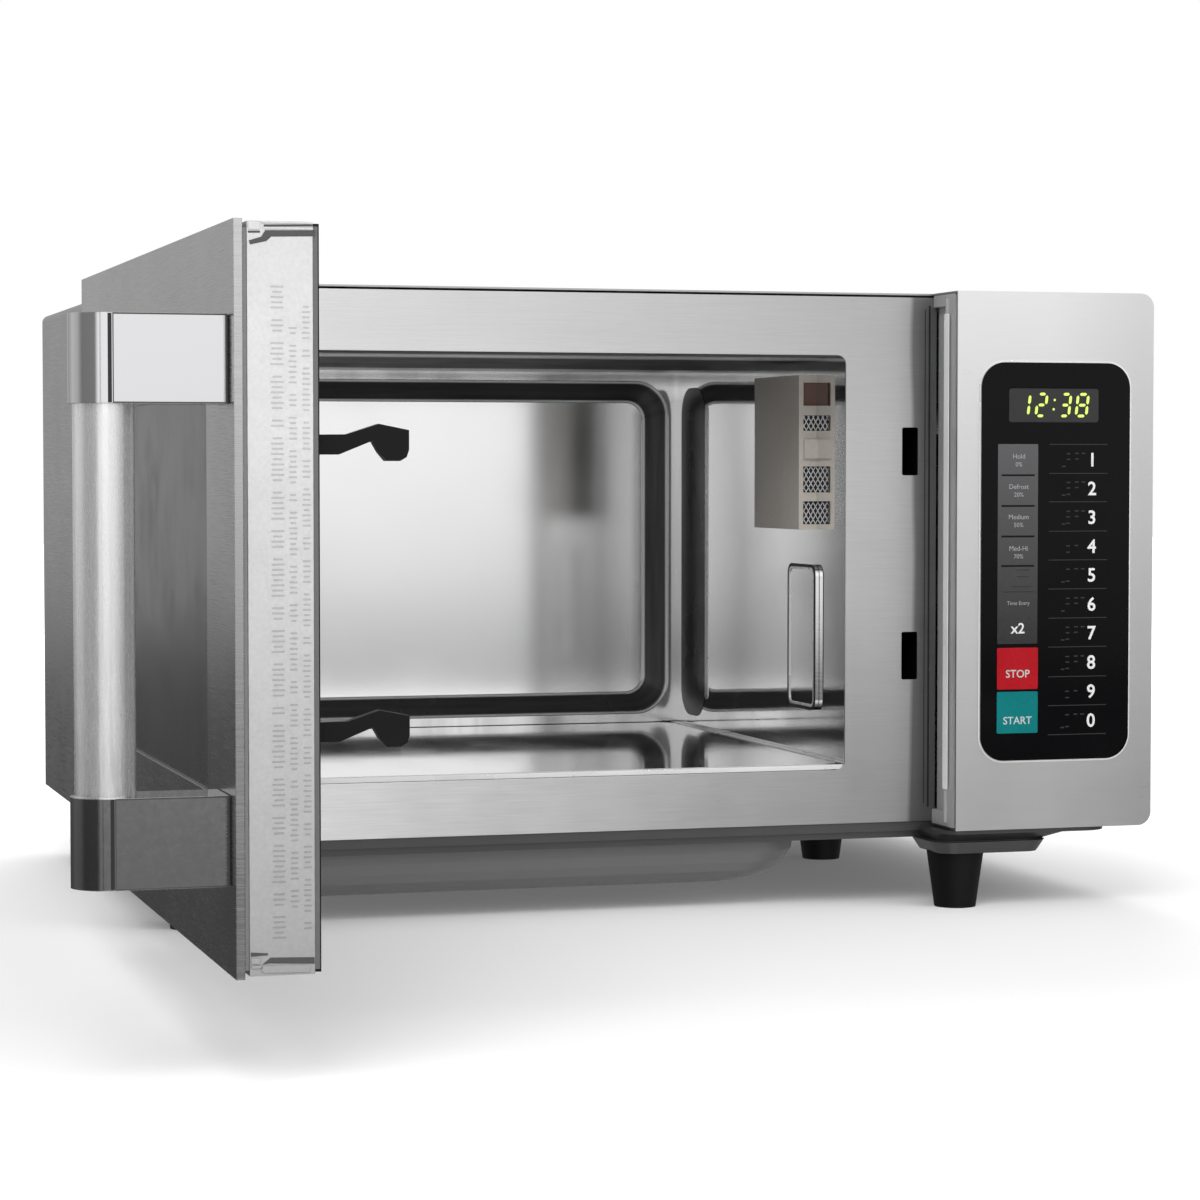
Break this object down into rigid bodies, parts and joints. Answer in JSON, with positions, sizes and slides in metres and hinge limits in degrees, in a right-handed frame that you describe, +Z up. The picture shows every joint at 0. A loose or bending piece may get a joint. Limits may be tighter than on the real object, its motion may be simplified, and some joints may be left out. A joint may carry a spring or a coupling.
{
  "type": "microwave oven",
  "caption": "Countertop microwave oven with a side-hinged door, vertical grip handle, touch-membrane control panel and polished steel cavity, stored with the door open.",
  "frame": {"origin": "centre of the bounding box on the surface the feet stand on, door open 90 degrees", "axes": "+Z up, +Y from the front to the back, +X to the viewer's right when facing the front"},
  "size_m": [0.5936, 0.7778, 0.311],
  "materials": {
    "casing_steel": "satin wrap, fine horizontal grain",
    "plate_steel": "fine horizontal brushing",
    "panel_steel": "fine horizontal brushing",
    "cavity_steel": "polished stainless steel",
    "pan_steel": "galvanised sheet",
    "door_steel": "satin skin",
    "bright_metal": "polished",
    "grip_steel": "satin tube",
    "choke_plastic": "light grey moulding",
    "black_plastic": "moulded black",
    "film_black": "glossy membrane",
    "display_smoke": "smoked lens",
    "cover_beige": "heat-resistant moulding",
    "feed_steel": "embossed cover",
    "mesh_metal": "perforated sheet",
    "lamp_glass": "clear bulb and ceramic socket",
    "window_glass": "dark tinted glass",
    "clear_film": "clear film",
    "foot_rubber": "moulded foot",
    "zinc_metal": "zinc-plated sheet",
    "spring_steel": "wire",
    "screw_steel": "zinc-plated screws",
    "copper": "enamelled wire",
    "core_iron": "laminated sheets",
    "fin_aluminium": "pressed fins",
    "board_green": "circuit board",
    "fan_plastic": "moulded fan"
  },
  "bodies": {
    "oven": {"outer_casing": "casing_steel", "rear_panel": "casing_steel", "cord_inlet_gland": "black_plastic", "base_pan": "pan_steel", "belly_cover": "pan_steel", "feet": "foot_rubber", "foot_screws": "screw_steel", "front_plate": "plate_steel", "cavity_right_wall": "cavity_steel", "cavity_left_wall": "cavity_steel", "cavity_back_wall": "cavity_steel", "cavity_ceiling": "cavity_steel", "cavity_floor_pan": "cavity_steel", "cavity_floor_plate": "cavity_steel", "lamp_vent_cover": "cover_beige", "lamp_cover_clip": "cover_beige", "vent_mesh": "mesh_metal", "cavity_lamp": "lamp_glass", "waveguide_feed_cover": "feed_steel", "control_fascia": "panel_steel", "control_housing": "bright_metal", "fascia_seal": "black_plastic", "control_membrane": "film_black", "display_lens": "display_smoke", "control_board": "board_green", "latch_bracket": "black_plastic", "interlock_switches": "black_plastic", "hinge_brackets": "zinc_metal", "hinge_pins": "spring_steel", "stirrer_motor": "zinc_metal", "waveguide": "zinc_metal", "magnetron_yoke": "zinc_metal", "magnetron_tube": "copper", "magnetron_fins": "fin_aluminium", "transformer_core": "core_iron", "transformer_windings": "copper", "high_voltage_capacitor": "fin_aluminium", "high_voltage_diode": "black_plastic", "capacitor_clamp": "zinc_metal", "filter_board": "board_green", "fan_shroud": "fan_plastic", "fan_motor": "core_iron", "casing_screws": "screw_steel"},
    "door": {"door_outer_skin": "door_steel", "door_window_glass": "window_glass", "door_choke_cover": "choke_plastic", "door_inner_frame": "black_plastic", "door_choke_frame": "zinc_metal", "door_screen": "mesh_metal", "door_inner_film": "clear_film", "handle_bracket_upper": "bright_metal", "handle_bracket_lower": "bright_metal", "handle_bar": "grip_steel", "handle_screws": "screw_steel", "door_hinge_knuckles": "zinc_metal", "latch_guides": "black_plastic", "latch_spring": "spring_steel"},
    "latch": {"latch_lever": "black_plastic"},
    "fan": {"fan_rotor": "fan_plastic"},
    "stirrer": {"stirrer_rotor": "fin_aluminium"}
  },
  "joints": [
    {"name": "door_hinge", "type": "hinge", "parent": "oven", "child": "door", "pos_m": [-0.2127, 0.01145, 0.176], "axis": [0, 0, 1], "range_deg": [-15, 90]},
    {"name": "latch_lift", "type": "slide", "parent": "door", "child": "latch", "axis": [0, 0, 1], "range_m": [0, 0.004], "stiffness_N_per_m": 300, "springref_m": -0.004, "deforming": ["latch_spring"]},
    {"name": "fan_spin", "type": "hinge", "parent": "oven", "child": "fan", "pos_m": [0.2283, 0.36285, 0.215], "axis": [0, 1, 0], "continuous": true},
    {"name": "stirrer_spin", "type": "hinge", "parent": "oven", "child": "stirrer", "pos_m": [-0.0187, 0.17785, 0.052], "axis": [0, 0, 1], "continuous": true}
  ]
}
